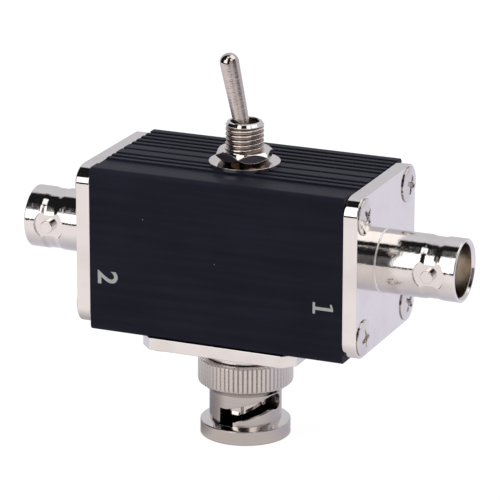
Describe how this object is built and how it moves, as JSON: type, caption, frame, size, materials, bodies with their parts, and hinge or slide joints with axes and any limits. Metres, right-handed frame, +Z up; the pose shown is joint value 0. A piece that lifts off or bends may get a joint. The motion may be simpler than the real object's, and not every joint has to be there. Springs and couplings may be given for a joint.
{
  "type": "coaxial antenna switch",
  "caption": "Ribbed box with a bayonet jack on each end, a bayonet plug underneath and a toggle lever on top, for sending one coaxial line to either of two.",
  "frame": {"origin": "centre of the coupling nut's rim, on the surface that the part stands on", "axes": "+X from the left jack to the right jack, +Y to the back, +Z up through the plug's axis towards the toggle lever"},
  "size_m": [0.0716, 0.0246, 0.0608],
  "materials": {
    "anodised_black": "satin black anodised aluminium",
    "polished_nickel": "polished nickel plate",
    "satin_nickel": "satin nickel plate, turned",
    "gold_plate": "gold-plated brass",
    "white_insulator": "white fluoropolymer",
    "blue_case": "moulded phenolic",
    "red_gasket": "silicone rubber",
    "tinned_copper": "tinned copper"
  },
  "bodies": {
    "body": {"housing": "anodised_black", "end_plate_left": "polished_nickel", "end_plate_right": "polished_nickel", "plate_screws_left": "polished_nickel", "plate_screws_right": "polished_nickel", "jack_shell_left": "polished_nickel", "jack_shell_right": "polished_nickel", "jack_lugs_left": "polished_nickel", "jack_lugs_right": "polished_nickel", "jack_insulator_left": "white_insulator", "jack_insulator_right": "white_insulator", "jack_contact_left": "gold_plate", "jack_contact_right": "gold_plate", "jack_washer_left": "satin_nickel", "jack_washer_right": "satin_nickel", "jack_nut_left": "satin_nickel", "jack_nut_right": "satin_nickel", "toggle_bushing": "polished_nickel", "toggle_washer": "polished_nickel", "toggle_nut": "polished_nickel", "toggle_frame": "satin_nickel", "toggle_case": "blue_case", "terminal_common": "gold_plate", "terminal_left": "gold_plate", "terminal_right": "gold_plate", "tx_flange": "polished_nickel", "tx_flange_screws": "polished_nickel", "tx_plug_body": "polished_nickel", "tx_insulator": "white_insulator", "tx_centre_pin": "gold_plate", "tx_gasket": "red_gasket", "tx_retaining_ring": "satin_nickel", "tx_wave_spring": "satin_nickel", "lead_left": "tinned_copper", "lead_right": "tinned_copper", "lead_tx": "tinned_copper"},
    "lever": {"toggle_lever": "satin_nickel", "toggle_spring": "satin_nickel"},
    "plunger": {"toggle_plunger": "white_insulator"},
    "rocker": {"toggle_rocker": "gold_plate"},
    "thrust": {"tx_thrust_washer": "satin_nickel"},
    "nut": {"tx_coupling_nut": "satin_nickel"}
  },
  "joints": [
    {"name": "lever_tilt", "type": "hinge", "parent": "body", "child": "lever", "pos_m": [0, -0.0006, 0.0475], "axis": [0, 1, 0], "range_deg": [0, 24.5]},
    {"name": "plunger_press", "type": "slide", "parent": "lever", "child": "plunger", "axis": [-0.2122, 0, 0.9772], "range_m": [0, 0.0005], "stiffness_N_per_m": 800, "springref_m": -0.0002, "deforming": ["toggle_spring"]},
    {"name": "rocker_tip", "type": "hinge", "parent": "body", "child": "rocker", "pos_m": [0, -0.0006, 0.0354], "axis": [0, 1, 0], "range_deg": [-16, 0]},
    {"name": "nut_push", "type": "slide", "parent": "body", "child": "thrust", "axis": [0, 0, -1], "range_m": [0, 0.0007], "stiffness_N_per_m": 4000, "springref_m": -0.0003, "deforming": ["tx_wave_spring"]},
    {"name": "nut_turn", "type": "hinge", "parent": "thrust", "child": "nut", "pos_m": [0, 0, 0.0124], "axis": [0, 0, 1], "continuous": true}
  ],
  "couplings": [
    {"joint": "rocker_tip", "follows": "lever_tilt", "ratio": -0.65306}
  ]
}
